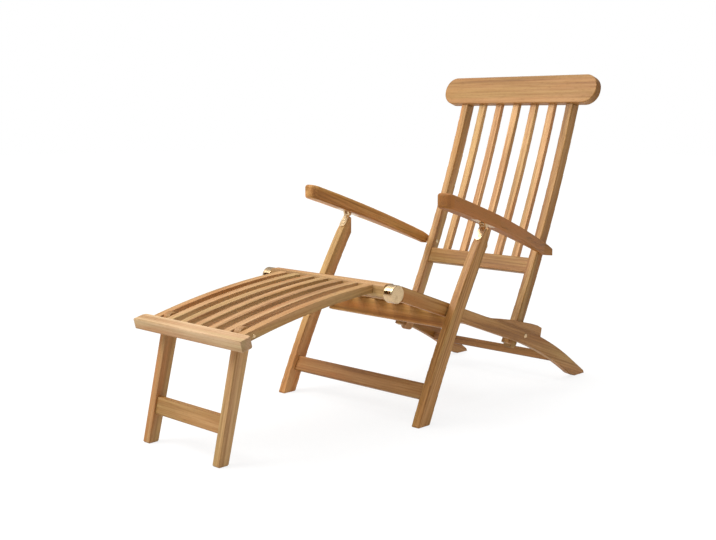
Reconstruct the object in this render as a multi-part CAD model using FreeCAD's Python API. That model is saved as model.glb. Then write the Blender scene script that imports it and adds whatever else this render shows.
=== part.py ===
import FreeCAD, Part
import math
import os

# Folding steamer deck chair in teak with brass fittings. Millimetres, +Z up.
# The sitter faces -Y, so left is +X. Side profiles are drawn in (y, z) from the front
# bottom corner of the front legs, and at the end the whole chair is moved so that the
# middle of its footprint is the origin.

V = FreeCAD.Vector

# Four pivots of the folding parallelogram, in (y, z)
LEG_PIVOT = (176.0, 289.0)
BACK_PIVOT = (538.0, 177.0)
LINK = (118.0, 250.0)
ARM_HINGE = (LEG_PIVOT[0] + LINK[0], LEG_PIVOT[1] + LINK[1])
ARM_PIVOT = (BACK_PIVOT[0] + LINK[0], BACK_PIVOT[1] + LINK[1])

# Clearances
RUNNING = 0.05
FACE_GAP = 0.3
JOINT_FIT = 0.1

# Seat rails
SEAT_TILT = math.radians(19.5)
RAIL_TOP_Z = 384.5
RAIL_DEPTH = 40.0
RAIL_THICK = 22.0
RAIL_OUTER = 259.0
RAIL_FRONT_Y = -36.0
RAIL_BEND_TOP_Y = 600.0
RAIL_BEND_LOW_Y = 512.0
RAIL_BEND_TOP = (701.0, 123.5)
RAIL_BEND_LOW = (652.0, 97.5)
RAIL_BEND_END = (796.5, 66.0)
RAIL_BEND_UNDER = (794.0, 13.0)
RAIL_HEEL_Y = 828.0
RAIL_TOE_Y = 885.0
RAIL_TOE_TIP = (880.0, 10.0)
RAIL_INNER = RAIL_OUTER - RAIL_THICK

# Seat slats and cross rails
SEAT_SLATS = 6
SEAT_SLAT_WIDTH = 44.0
SEAT_SLAT_PITCH = 70.6
SEAT_SLAT_THICK = 12.0
SEAT_SLAT_SINK = 5.0
SEAT_SLAT_START = -20.0
SEAT_SLAT_END = 480.0
CROSS_DEPTH = 20.0
CROSS_WIDTH = 24.0
FRONT_CROSS_S = -18.0
REAR_CROSS_S = 372.0
REAR_CROSS_DEPTH = 12.0
REAR_CROSS_WIDTH = 28.0
STILE_SIDE_GAP = 1.2
APRON_S = 206.0
APRON_THICK = 20.0
APRON_LOW = 69.0
LOW_RAIL_Y = 690.0
LOW_RAIL_Z = 73.0
LOW_RAIL_SIZE = 25.0
LOW_RAIL_HEIGHT = 28.0
LOW_RAIL_DROP = 8.0

# Front legs
LEG_TILT = math.radians(27.67)
LEG_THICK = 28.0
LEG_GAP = 2.0
LEG_INNER = RAIL_OUTER + LEG_GAP
LEG_OUTER = LEG_INNER + LEG_THICK
LEG_TOE_Y = -2.8
LEG_HEEL_Y = 47.0
LEG_FRONT_LOW = (4.0, -2.8)
LEG_FRONT_MIDDLE = (215.0, -11.5)
LEG_FRONT_HIGH = (552.0, 0.5)
LEG_REAR_LOW = (25.0, 42.0)
LEG_REAR_MIDDLE = (215.0, 32.5)
LEG_REAR_HIGH = (564.0, 41.8)
LEG_HEAD_FRONT = (607.0, 10.2)
LEG_HEAD_REAR = (607.0, 19.6)
LEG_STRETCHER_S = 105.0
LEG_STRETCHER_THICK = 20.0
LEG_STRETCHER_HEIGHT = 46.0
LEG_STRETCHER_SET = 4.0

# Arms
ARM_INNER = 240.0
ARM_WIDTH = 56.0
ARM_NOSE_Y = 113.0
ARM_NOSE_CORNER = 24.0
ARM_TAPER_START = 350.0
ARM_TAPER_END = 628.0
ARM_TAIL_WIDTH = 22.0
ARM_TOP_NOSE = (ARM_NOSE_Y, 645.5)
ARM_TOP_MIDDLE = (350.0, 568.0)
ARM_TOP_END = (632.0, 462.7)
ARM_TAIL_TOP = (672.0, 437.5)
ARM_TAIL_LOW = (672.0, 417.0)
ARM_LOW_NOSE = (ARM_NOSE_Y, 602.5)
ARM_LOW_MIDDLE = (ARM_HINGE[0], ARM_HINGE[1] + 7.0)
ARM_LOW_END = (636.0, 421.0)
ARM_SOFT = 8.0

# Back frame: stiles bent to one large radius
BACK_FOOT = (533.5, 177.0)
BACK_LEAN = math.radians(28.0)
BACK_RADIUS = 4550.0
STILE_OUTER = 228.0
STILE_THICK = 28.0
STILE_DEPTH = 36.0
STILE_TAIL = 44.0
STILE_LAP = 68.0
STILE_INNER = STILE_OUTER - STILE_THICK
BACK_SLATS = 5
BACK_SLAT_WIDTH = 26.0
BACK_SLAT_PITCH = 71.0
BACK_SLAT_THICK = 15.5
BACK_SLAT_SET = 6.0
LOWER_RAIL_S = 202.0
LOWER_RAIL_HEIGHT = 50.0
LOWER_RAIL_THICK = 22.0
LOWER_RAIL_SET = 4.0
TOP_RAIL_S = 775.5
TOP_RAIL_HEIGHT = 94.5
TOP_RAIL_THICK = 29.5
TOP_RAIL_PROUD = 8.0
TOP_RAIL_LENGTH = 615.0
TOP_RAIL_END = 45.0
SLAT_SEAT = 12.0
STILE_SEAT = 40.0
TENON_THICK = 12.0

# Cheek blocks between the seat rails and the stiles
CHEEK_TOP = [(396.0, 249.0), (442.0, 241.0), (504.0, 229.0), (558.0, 215.0),
             (601.0, 204.5), (635.0, 194.0), (660.0, 182.0)]
CHEEK_START = (366.0, 258.0)
CHEEK_REAR = (653.0, 150.0)
CHEEK_LOW = [(512.0, 163.0), (478.0, 175.0)]
CHEEK_DROP = 28.0
STOP_LOW = -38.0
STOP_UP = -14.0
STOP_THICK = 16.0
STOP_INNER = 206.0

# Footrest
BAR_AXIS = (-60.0, 378.6)
BAR_TOP = 403.8
BAR_HEIGHT = 37.0
BAR_DEPTH = 40.0
BAR_CORNER = 9.0
BAR_PLAY = 0.6
FOOTREST_FRONT = (-535.0, 327.5)
FOOTREST_REAR = (BAR_AXIS[0] - BAR_DEPTH / 2, 400.3)
FOOTREST_RISE = 11.5
FOOTREST_SLATS = 5
FOOTREST_PITCH = 58.0
FOOTREST_SLAT_WIDTH = 28.0
FOOTREST_SLAT_THICK = 18.0
FOOTREST_RAIL_OUTER = 188.0
FOOTREST_RAIL_THICK = 28.0
FOOTREST_RAIL_DEPTH = 24.0
TENON_LENGTH = 12.0
BOARD_HALF = 220.0
BOARD_FRONT_Y = -575.0
BOARD_FRONT_Z = 321.0
BOARD_DEPTH = 39.5
BOARD_THICK = 30.0
BOARD_TILT = math.radians(13.9)
BOARD_CORNER = 14.0

# Footrest legs
FOLD_PIVOT = (-505.0, 320.5)
FOLD_TOE_Y = -598.0
FOLD_TOE_DEPTH = 32.0
FOLD_HEAD = 19.0
FOLD_OUTER = 158.5
FOLD_THICK = 26.0
FOLD_STRETCHER_LOW = 76.2
FOLD_STRETCHER_HEIGHT = 44.6
FOLD_STRETCHER_THICK = 18.0
FOLD_STRETCHER_SET = 5.0

# Brass
BOLT = 10.0
BOLT_HEAD = 14.0
BOLT_HEAD_HEIGHT = 3.0
BLIND = 6.0
WASHER_OUTER = 22.0
SPACER_OUTER = 18.0
SMALL_BOLT = 6.0
SMALL_HEAD = 10.0
SMALL_HEAD_HEIGHT = 2.0
DRUM = 50.0
DRUM_WIDTH = 28.4
DRUM_INNER = RAIL_OUTER - DRUM_WIDTH
BAR_HALF = DRUM_INNER - BAR_PLAY
DRUM_PROUD = 2.0
DRUM_FLOOR = 4.0
TANG_THICK = 4.0
TANG_HEIGHT = 22.0
TANG_END = (-12.0, 361.0)
PIN = 16.0
PIN_FLATS = 7.4
PIN_IN_BAR = 30.0
SLOT = 8.0
HINGE_PIN = 6.0
KNUCKLE = 9.2
HINGE_PLATE = 2.5
HINGE_WIDTH = 24.0
HINGE_LUG = 12.0
HINGE_SUNK = 2.3
ARM_LEAF_FRONT = 60.0
ARM_LEAF_REAR = 66.0
LEG_LEAF_LENGTH = 48.0
SCREW_HEAD = 8.0
SCREW_HEAD_HEIGHT = 2.2
SCREW_SHANK = 4.0
SCREW_LENGTH = 14.0
SCREW_SLOT = 1.0

SOFT = 3.0
SLAT_SOFT = 2.0
SLAT_X = 102.0


# Local frames, each returning (y, z)
def on_rail(s, d):
    y = s * math.cos(SEAT_TILT) - d * math.sin(SEAT_TILT)
    z = RAIL_TOP_Z - s * math.sin(SEAT_TILT) - d * math.cos(SEAT_TILT)
    return (y, z)


def rail_top(y):
    return RAIL_TOP_Z - y * math.tan(SEAT_TILT)


def rail_low(y):
    return rail_top(y) - RAIL_DEPTH / math.cos(SEAT_TILT)


def on_leg(s, d):
    y = s * math.sin(LEG_TILT) + d * math.cos(LEG_TILT)
    z = s * math.cos(LEG_TILT) - d * math.sin(LEG_TILT)
    return (y, z)


def circle_through(a, b, c):
    arc = Part.Arc(V(0, a[0], a[1]), V(0, b[0], b[1]), V(0, c[0], c[1]))
    return arc.toShape().Curve


ARM_TOP_ARC = circle_through(ARM_TOP_NOSE, ARM_TOP_MIDDLE, ARM_TOP_END)
ARM_LOW_ARC = circle_through(ARM_LOW_NOSE, ARM_LOW_MIDDLE, ARM_LOW_END)
ARM_LOW_TILT = math.atan2(ARM_LOW_MIDDLE[0] - ARM_LOW_ARC.Center.y, ARM_LOW_MIDDLE[1] - ARM_LOW_ARC.Center.z)


def under_arm(s, h):
    # s runs back along the arm's lower face from above the hinge, h is height above it
    y = ARM_LOW_MIDDLE[0] + s * math.cos(ARM_LOW_TILT) + h * math.sin(ARM_LOW_TILT)
    z = ARM_LOW_MIDDLE[1] - s * math.sin(ARM_LOW_TILT) + h * math.cos(ARM_LOW_TILT)
    return (y, z)


LEG_CUT_TILT = math.atan2(LEG_HEAD_FRONT[1] - LEG_FRONT_HIGH[1], LEG_HEAD_FRONT[0] - LEG_FRONT_HIGH[0])


def on_cut(s, d):
    # s runs up the slanted face under the hinge leaf, d is depth behind that face
    along = LEG_FRONT_HIGH[0] + s * math.cos(LEG_CUT_TILT) - d * math.sin(LEG_CUT_TILT)
    behind = LEG_FRONT_HIGH[1] + s * math.sin(LEG_CUT_TILT) + d * math.cos(LEG_CUT_TILT)
    return on_leg(along, behind)


def on_back(s, d):
    # s runs up the stile from level with the seat pivot, d is depth behind its centreline
    lean = BACK_LEAN - s / BACK_RADIUS
    arc = BACK_RADIUS + d
    y = BACK_FOOT[0] - BACK_RADIUS * math.cos(BACK_LEAN) + arc * math.cos(lean)
    z = BACK_FOOT[1] + BACK_RADIUS * math.sin(BACK_LEAN) - arc * math.sin(lean)
    return (y, z)


FOOTREST_CHORD = math.hypot(FOOTREST_REAR[0] - FOOTREST_FRONT[0], FOOTREST_REAR[1] - FOOTREST_FRONT[1])
FOOTREST_RADIUS = FOOTREST_CHORD ** 2 / (8 * FOOTREST_RISE) + FOOTREST_RISE / 2
FOOTREST_HALF = math.asin(FOOTREST_CHORD / 2 / FOOTREST_RADIUS)
FOOTREST_TILT = math.atan2(FOOTREST_REAR[1] - FOOTREST_FRONT[1], FOOTREST_REAR[0] - FOOTREST_FRONT[0])
FOOTREST_DROP = FOOTREST_RADIUS - FOOTREST_RISE
FOOTREST_MIDDLE = ((FOOTREST_FRONT[0] + FOOTREST_REAR[0]) / 2, (FOOTREST_FRONT[1] + FOOTREST_REAR[1]) / 2)


def on_footrest(t, d):
    # t runs from 0 at the front board to 1 at the bar, d is depth below the top surface
    turn = FOOTREST_TILT + FOOTREST_HALF * (1 - 2 * t)
    centre_y = FOOTREST_MIDDLE[0] + FOOTREST_DROP * math.sin(FOOTREST_TILT)
    centre_z = FOOTREST_MIDDLE[1] - FOOTREST_DROP * math.cos(FOOTREST_TILT)
    y = centre_y - (FOOTREST_RADIUS - d) * math.sin(turn)
    z = centre_z + (FOOTREST_RADIUS - d) * math.cos(turn)
    return (y, z)


def on_board(s, d):
    # s runs back along the board's top from its front edge, d is depth below it
    y = BOARD_FRONT_Y + s * math.cos(BOARD_TILT) + d * math.sin(BOARD_TILT)
    z = BOARD_FRONT_Z + s * math.sin(BOARD_TILT) - d * math.cos(BOARD_TILT)
    return (y, z)


# Drawing helpers
def slab(outline, x0, x1):
    # outline holds (y, z) corners; a corner (y, z, ym, zm) is reached by an arc through (ym, zm)
    points = [V(x0, p[0], p[1]) for p in outline]
    edges = []
    for i, point in enumerate(outline):
        if len(point) == 4:
            arc = Part.Arc(points[i - 1], V(x0, point[2], point[3]), points[i])
            edges.append(arc.toShape())
        else:
            edges.append(Part.makeLine(points[i - 1], points[i]))
    face = Part.Face(Part.Wire(Part.__sortEdges__(edges)))
    return face.extrude(V(x1 - x0, 0, 0))


def curved(place, s0, s1, d0, d1, x0, x1):
    middle = (s0 + s1) / 2
    outline = [place(s0, d0), place(s1, d0) + place(middle, d0),
               place(s1, d1), place(s0, d1) + place(middle, d1)]
    return slab(outline, x0, x1)


def straight(place, s0, s1, d0, d1, x0, x1):
    return slab([place(s0, d0), place(s1, d0), place(s1, d1), place(s0, d1)], x0, x1)


def disc(radius, x0, x1, centre):
    return Part.makeCylinder(radius, x1 - x0, V(x0, centre[0], centre[1]), V(1, 0, 0))


def soften(shape, radius):
    # rounds the edges that lie in the two end faces of a slab
    box = shape.BoundBox
    edges = []
    for edge in shape.Edges:
        span = edge.BoundBox
        if span.XLength < 1e-6 and min(span.XMin - box.XMin, box.XMax - span.XMin) < 1e-6:
            edges.append(edge)
    return shape.makeFillet(radius, edges)


def soften_length(shape, radius):
    # rounds the edges that run along X
    length = shape.BoundBox.XLength
    edges = [e for e in shape.Edges if e.BoundBox.XLength > 0.5 * length]
    return shape.makeFillet(radius, edges)


def cut_all(shape, tools):
    for tool in tools:
        shape = shape.cut(tool)
    return shape


def mirrored(shape):
    return shape.mirror(V(0, 0, 0), V(1, 0, 0))


def both(shapes):
    return Part.makeCompound(shapes + [mirrored(s) for s in shapes])


def across(direction):
    # unit vector in the side plane from a pair of points
    dy = direction[1][0] - direction[0][0]
    dz = direction[1][1] - direction[0][1]
    size = math.hypot(dy, dz)
    return V(0, dy / size, dz / size)


def screw(tip, direction, grow=0.0):
    head = Part.makeCone(SCREW_HEAD / 2 + grow, SCREW_SHANK / 2 + grow, SCREW_HEAD_HEIGHT, tip, direction)
    shank = Part.makeCylinder(SCREW_SHANK / 2 + grow, SCREW_LENGTH + grow, tip, direction)
    return head.fuse(shank)


def slotted(shape, tip, direction):
    cutter = Part.makeBox(2 * SCREW_HEAD, SCREW_SLOT, SCREW_SLOT, V(-SCREW_HEAD, -SCREW_SLOT / 2, 0))
    cutter.Placement = FreeCAD.Placement(tip, FreeCAD.Rotation(V(0, 0, 1), direction))
    return shape.cut(cutter)


def bolt(x_head, x_end, centre, width, head, height):
    # a round-headed pin along X; the head sits beyond x_head, away from x_end
    side = 1 if x_end > x_head else -1
    shank = Part.makeCylinder(width / 2, abs(x_end - x_head), V(x_head, centre[0], centre[1]), V(side, 0, 0))
    base = V(x_head, centre[0], centre[1])
    cap = Part.makeCone(head / 2, head / 2 - height * 0.6, height, base, V(-side, 0, 0))
    return shank.fuse(cap)


# Seat rails, cheek blocks and cross pieces
def seat_rail():
    outline = [
        (RAIL_FRONT_Y, rail_low(RAIL_FRONT_Y)),
        (RAIL_FRONT_Y, rail_top(RAIL_FRONT_Y)),
        (RAIL_BEND_TOP_Y, rail_top(RAIL_BEND_TOP_Y)),
        RAIL_BEND_END + RAIL_BEND_TOP,
        RAIL_TOE_TIP,
        (RAIL_TOE_Y, 0.0),
        (RAIL_HEEL_Y, 0.0),
        RAIL_BEND_UNDER,
        (RAIL_BEND_LOW_Y, rail_low(RAIL_BEND_LOW_Y)) + RAIL_BEND_LOW,
    ]
    rail = slab(outline, RAIL_INNER, RAIL_OUTER)
    drum = disc(DRUM / 2 + JOINT_FIT, RAIL_INNER - 1, RAIL_OUTER + 1, BAR_AXIS)
    return soften(rail, SOFT).cut(drum)


def cheek_block():
    points = [CHEEK_START] + CHEEK_TOP + [CHEEK_REAR] + CHEEK_LOW
    points.append((CHEEK_START[0] + 60.0, rail_top(CHEEK_START[0] + 60.0) - CHEEK_DROP))
    points.append((CHEEK_START[0], rail_top(CHEEK_START[0]) - CHEEK_DROP / 2))
    block = slab(points, STILE_OUTER + STILE_SIDE_GAP, RAIL_INNER)
    # the foot of the stile leans against this stop
    rest = -STILE_DEPTH / 2 - FACE_GAP
    stop = straight(on_back, STOP_LOW, STOP_UP, rest - STOP_THICK, rest, STOP_INNER, RAIL_INNER)
    return block.fuse(stop).removeSplitter()


def seat_slat():
    slat = straight(on_rail, SEAT_SLAT_START, SEAT_SLAT_END, SEAT_SLAT_SINK,
                    SEAT_SLAT_SINK + SEAT_SLAT_THICK, SLAT_X, SLAT_X + SEAT_SLAT_WIDTH)
    return soften(slat, SLAT_SOFT)


def cross_piece(s, depth_top, depth_low, thick):
    piece = straight(on_rail, s, s + thick, depth_top, depth_low, -RAIL_INNER, RAIL_INNER)
    return soften_length(piece, SOFT)


def low_rail():
    low = (LOW_RAIL_Y, LOW_RAIL_Z)
    outline = [
        low,
        (low[0], low[1] + LOW_RAIL_HEIGHT),
        (low[0] + LOW_RAIL_SIZE, low[1] + LOW_RAIL_HEIGHT - LOW_RAIL_DROP),
        (low[0] + LOW_RAIL_SIZE, low[1] - LOW_RAIL_DROP),
    ]
    return soften_length(slab(outline, -RAIL_INNER, RAIL_INNER), SOFT)


# Front legs, bowed forward between the foot and the hinge
def front_leg():
    outline = [
        (LEG_TOE_Y + 3.0, 0.0),
        on_leg(*LEG_FRONT_LOW),
        on_leg(*LEG_FRONT_HIGH) + on_leg(*LEG_FRONT_MIDDLE),
        on_leg(*LEG_HEAD_FRONT),
        on_leg(*LEG_HEAD_REAR),
        on_leg(*LEG_REAR_HIGH),
        on_leg(*LEG_REAR_LOW) + on_leg(*LEG_REAR_MIDDLE),
        (LEG_HEEL_Y - 3.0, 0.0),
    ]
    return soften(slab(outline, LEG_INNER, LEG_OUTER), SOFT)


def leg_stretcher():
    low = LEG_STRETCHER_S - LEG_STRETCHER_HEIGHT / 2
    bar = straight(on_leg, low, low + LEG_STRETCHER_HEIGHT, LEG_STRETCHER_SET,
                   LEG_STRETCHER_SET + LEG_STRETCHER_THICK, -LEG_INNER, LEG_INNER)
    return soften_length(bar, SOFT)


# Arms
def arm():
    tail_outer = ARM_INNER + ARM_TAIL_WIDTH
    outer = ARM_INNER + ARM_WIDTH
    side = [ARM_TOP_NOSE, ARM_TOP_END + ARM_TOP_MIDDLE, ARM_TAIL_TOP, ARM_TAIL_LOW, ARM_LOW_END,
            ARM_LOW_NOSE + ARM_LOW_MIDDLE]
    body = slab(side, ARM_INNER - 5.0, outer + 5.0)
    inset = ARM_NOSE_CORNER * (1 - math.sqrt(0.5))
    front = ARM_NOSE_Y + ARM_NOSE_CORNER
    a = V(ARM_INNER, front, 0)
    b = V(ARM_INNER + ARM_NOSE_CORNER, ARM_NOSE_Y, 0)
    c = V(outer - ARM_NOSE_CORNER, ARM_NOSE_Y, 0)
    d = V(outer, front, 0)
    e = V(outer, ARM_TAPER_START, 0)
    f = V(tail_outer, ARM_TAPER_END, 0)
    g = V(tail_outer, ARM_TAIL_TOP[0] + 5.0, 0)
    h = V(ARM_INNER, ARM_TAIL_TOP[0] + 5.0, 0)
    bend = V((outer + tail_outer) / 2 + 3.0, (ARM_TAPER_START + ARM_TAPER_END) / 2, 0)
    edges = [
        Part.Arc(a, V(ARM_INNER + inset, ARM_NOSE_Y + inset, 0), b).toShape(),
        Part.makeLine(b, c),
        Part.Arc(c, V(outer - inset, ARM_NOSE_Y + inset, 0), d).toShape(),
        Part.makeLine(d, e),
        Part.Arc(e, bend, f).toShape(),
        Part.makeLine(f, g),
        Part.makeLine(g, h),
        Part.makeLine(h, a),
    ]
    plan = Part.Face(Part.Wire(Part.__sortEdges__(edges))).extrude(V(0, 0, 2 * ARM_TOP_NOSE[1]))
    blank = body.common(plan).Solids[0]
    rounded = []
    for edge in blank.Edges:
        middle = edge.valueAt((edge.FirstParameter + edge.LastParameter) / 2)
        on_arc = False
        for arc in (ARM_TOP_ARC, ARM_LOW_ARC):
            away = math.hypot(middle.y - arc.Center.y, middle.z - arc.Center.z)
            on_arc = on_arc or abs(away - arc.Radius) < 0.01
        inside = ARM_INNER + 0.5 < middle.x < tail_outer - 0.5 and middle.y > ARM_TAPER_START
        if on_arc and not inside:
            rounded.append(edge)
    return blank.makeFillet(ARM_SOFT, rounded)


# Arm hinges
HINGE_MIDDLE = (LEG_INNER + LEG_OUTER) / 2
HINGE_X0 = HINGE_MIDDLE - HINGE_WIDTH / 2
HINGE_X1 = HINGE_MIDDLE + HINGE_WIDTH / 2
LUG_X0 = HINGE_MIDDLE - HINGE_LUG / 2
LUG_X1 = HINGE_MIDDLE + HINGE_LUG / 2
LEG_NORMAL = across((on_cut(0.0, 0.0), on_cut(0.0, 1.0)))
ARM_NORMAL = across((under_arm(0.0, 0.0), under_arm(0.0, 1.0)))
HINGE_LOW = HINGE_SUNK - HINGE_PLATE
CUT_START = on_cut(0.0, -HINGE_PLATE / 2)
LEG_LEAF_TOP = math.hypot(ARM_HINGE[0] - CUT_START[0], ARM_HINGE[1] - CUT_START[1])
LEG_LEAF_LOW = LEG_LEAF_TOP - LEG_LEAF_LENGTH + HINGE_WIDTH / 2
LEG_LEAF_SHOULDER = LEG_LEAF_TOP - KNUCKLE / 2 - 0.6


def at(x, point):
    return V(x, point[0], point[1])


def leg_leaf():
    front = -HINGE_PLATE
    x0 = LUG_X0 + FACE_GAP
    x1 = LUG_X1 - FACE_GAP
    plate = straight(on_cut, LEG_LEAF_LOW, LEG_LEAF_SHOULDER, front, 0.0, HINGE_X0, HINGE_X1)
    foot = at(HINGE_MIDDLE, on_cut(LEG_LEAF_LOW, front))
    tongue = Part.makeCylinder(HINGE_WIDTH / 2, HINGE_PLATE, foot, LEG_NORMAL)
    neck = straight(on_cut, LEG_LEAF_SHOULDER - 1.0, LEG_LEAF_TOP, front, 0.0, x0, x1)
    knuckle = disc(KNUCKLE / 2, x0, x1, ARM_HINGE)
    bore = disc(HINGE_PIN / 2 + RUNNING, LUG_X0, LUG_X1, ARM_HINGE)
    return plate.fuse([tongue, neck, knuckle]).cut(bore).removeSplitter()


def leg_leaf_screws():
    screws = []
    for s in (LEG_LEAF_LOW, LEG_LEAF_SHOULDER - 10.0):
        screws.append((at(HINGE_MIDDLE, on_cut(s, -HINGE_PLATE)), LEG_NORMAL))
    return screws


def arm_leaf():
    start = HINGE_WIDTH / 2 - ARM_LEAF_FRONT
    end = ARM_LEAF_REAR - HINGE_WIDTH / 2
    plate = straight(under_arm, start, end, HINGE_LOW, HINGE_SUNK, HINGE_X0, HINGE_X1)
    pieces = []
    for s in (start, end):
        foot = at(HINGE_MIDDLE, under_arm(s, HINGE_LOW))
        pieces.append(Part.makeCylinder(HINGE_WIDTH / 2, HINGE_PLATE, foot, ARM_NORMAL))
    for x0, x1 in ((HINGE_X0, LUG_X0), (LUG_X1, HINGE_X1)):
        front = (ARM_HINGE[0] - KNUCKLE / 2, ARM_HINGE[1])
        rear = (ARM_HINGE[0] + KNUCKLE / 2, ARM_HINGE[1])
        pieces.append(slab([under_arm(-7.0, 0.0), under_arm(7.0, 0.0), rear, front], x0, x1))
        pieces.append(disc(KNUCKLE / 2, x0, x1, ARM_HINGE))
    bore = disc(HINGE_PIN / 2, HINGE_X0, HINGE_X1, ARM_HINGE)
    return plate.fuse(pieces).cut(bore).removeSplitter()


def arm_leaf_screws():
    screws = []
    for s in (HINGE_WIDTH / 2 - ARM_LEAF_FRONT, -24.0, 26.0, ARM_LEAF_REAR - HINGE_WIDTH / 2):
        screws.append((at(HINGE_MIDDLE, under_arm(s, HINGE_LOW)), ARM_NORMAL))
    return screws


# Back frame
def stile():
    half = STILE_DEPTH / 2
    body = curved(on_back, half - STILE_TAIL, TOP_RAIL_S, -half, half, STILE_INNER, STILE_OUTER)
    tail = disc(half, STILE_INNER, STILE_OUTER, on_back(half - STILE_TAIL, 0.0))
    shape = soften(body.fuse(tail).removeSplitter(), SOFT)
    middle = TOP_RAIL_THICK / 2 - half - TOP_RAIL_PROUD
    tenon = straight(on_back, TOP_RAIL_S - 1.0, TOP_RAIL_S + STILE_SEAT, middle - TENON_THICK / 2,
                     middle + TENON_THICK / 2, STILE_INNER + SOFT, STILE_OUTER - SOFT)
    behind = TOP_RAIL_THICK - half - TOP_RAIL_PROUD
    lap = straight(on_back, TOP_RAIL_S - 4.0, TOP_RAIL_S + STILE_LAP, behind, half, STILE_INNER, STILE_OUTER)
    lap = soften(lap, SOFT)
    return shape.fuse([tenon, lap]).removeSplitter()


def row(piece, width, count, pitch):
    # copies of a piece drawn from x = SLAT_X, spread evenly about the middle
    pieces = []
    for i in range(count):
        copy = piece.copy()
        copy.translate(V((i - (count - 1) / 2) * pitch - SLAT_X - width / 2, 0, 0))
        pieces.append(copy)
    return pieces


def back_slat():
    front = BACK_SLAT_SET - STILE_DEPTH / 2
    foot = LOWER_RAIL_S + LOWER_RAIL_HEIGHT - SLAT_SEAT
    return curved(on_back, foot, TOP_RAIL_S + SLAT_SEAT, front, front + BACK_SLAT_THICK, SLAT_X,
                  SLAT_X + BACK_SLAT_WIDTH)


def lower_rail():
    front = LOWER_RAIL_SET - STILE_DEPTH / 2
    rail = straight(on_back, LOWER_RAIL_S, LOWER_RAIL_S + LOWER_RAIL_HEIGHT, front, front + LOWER_RAIL_THICK,
                    -STILE_INNER, STILE_INNER)
    return soften_length(rail, SOFT)


def end_edges(shape, length, near=None):
    # short edges across the thickness of a board, at its two ends
    found = []
    for edge in shape.Edges:
        box = edge.BoundBox
        at_end = min(box.XMin - shape.BoundBox.XMin, shape.BoundBox.XMax - box.XMin) < 1e-6
        middle = edge.valueAt((edge.FirstParameter + edge.LastParameter) / 2)
        close = near is None or math.hypot(middle.y - near[0], middle.z - near[1]) < length
        if box.XLength < 1e-6 and at_end and abs(edge.Length - length) < 0.5 and close:
            found.append(edge)
    return found


def face_edges(shape, length):
    # every edge of a board except the short ones that cross its thickness
    return [e for e in shape.Edges if abs(e.Length - length) > 0.6]


def top_rail():
    front = -STILE_DEPTH / 2 - TOP_RAIL_PROUD
    half = TOP_RAIL_LENGTH / 2
    high = TOP_RAIL_S + TOP_RAIL_HEIGHT
    board = straight(on_back, TOP_RAIL_S, high, front, front + TOP_RAIL_THICK, -half, half)
    board = board.makeFillet(TOP_RAIL_END, end_edges(board, TOP_RAIL_THICK))
    return board.makeFillet(SOFT, face_edges(board, TOP_RAIL_THICK))


# Footrest
def footrest_bar():
    y0 = BAR_AXIS[0] - BAR_DEPTH / 2
    y1 = y0 + BAR_DEPTH
    low = BAR_TOP - BAR_HEIGHT
    bar = slab([(y0, low), (y0, BAR_TOP), (y1, BAR_TOP), (y1, low)], -BAR_HALF, BAR_HALF)
    return soften_length(bar, BAR_CORNER)


def footrest_strip(x0, x1, depth):
    inset = TENON_LENGTH / FOOTREST_CHORD
    return curved(on_footrest, -inset, 1 + inset, 0.0, depth, x0, x1)


def front_board():
    board = straight(on_board, 0.0, BOARD_DEPTH, 0.0, BOARD_THICK, -BOARD_HALF, BOARD_HALF)
    rear = on_board(BOARD_DEPTH, BOARD_THICK / 2)
    board = board.makeFillet(BOARD_CORNER, end_edges(board, BOARD_THICK, rear))
    return board.makeFillet(SOFT, face_edges(board, BOARD_THICK))


def tangent(start, centre, radius, side):
    dy = centre[0] - start[0]
    dz = centre[1] - start[1]
    away = math.hypot(dy, dz)
    turn = math.atan2(dz, dy) + side * math.asin(radius / away)
    reach = math.sqrt(away ** 2 - radius ** 2)
    return (start[0] + reach * math.cos(turn), start[1] + reach * math.sin(turn))


FOLD_TOE = (FOLD_TOE_Y, 0.0)
FOLD_HEEL = (FOLD_TOE_Y + FOLD_TOE_DEPTH, 0.0)
FOLD_FRONT = tangent(FOLD_TOE, FOLD_PIVOT, FOLD_HEAD, 1)
FOLD_REAR = tangent(FOLD_HEEL, FOLD_PIVOT, FOLD_HEAD, -1)
FOLD_SLOPE = (FOLD_FRONT[0] - FOLD_TOE[0]) / FOLD_FRONT[1]
FOLD_INNER = FOLD_OUTER - FOLD_THICK


def fold_leg():
    top = (FOLD_PIVOT[0], FOLD_PIVOT[1] + FOLD_HEAD)
    outline = [
        (FOLD_TOE[0] + FOLD_SLOPE * 3.0, 3.0),
        FOLD_FRONT,
        FOLD_REAR + top,
        (FOLD_HEEL[0] + FOLD_SLOPE * 3.0, 3.0),
        (FOLD_HEEL[0] - 3.0, 0.0),
        (FOLD_TOE[0] + 3.0, 0.0),
    ]
    return soften(slab(outline, FOLD_INNER, FOLD_OUTER), SLAT_SOFT)


def fold_stretcher():
    high = FOLD_STRETCHER_LOW + FOLD_STRETCHER_HEIGHT
    front_low = FOLD_TOE_Y + FOLD_SLOPE * FOLD_STRETCHER_LOW + FOLD_STRETCHER_SET
    front_high = FOLD_TOE_Y + FOLD_SLOPE * high + FOLD_STRETCHER_SET
    outline = [
        (front_low, FOLD_STRETCHER_LOW),
        (front_high, high),
        (front_high + FOLD_STRETCHER_THICK, high),
        (front_low + FOLD_STRETCHER_THICK, FOLD_STRETCHER_LOW),
    ]
    return soften_length(slab(outline, -FOLD_INNER, FOLD_INNER), SOFT)


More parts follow.
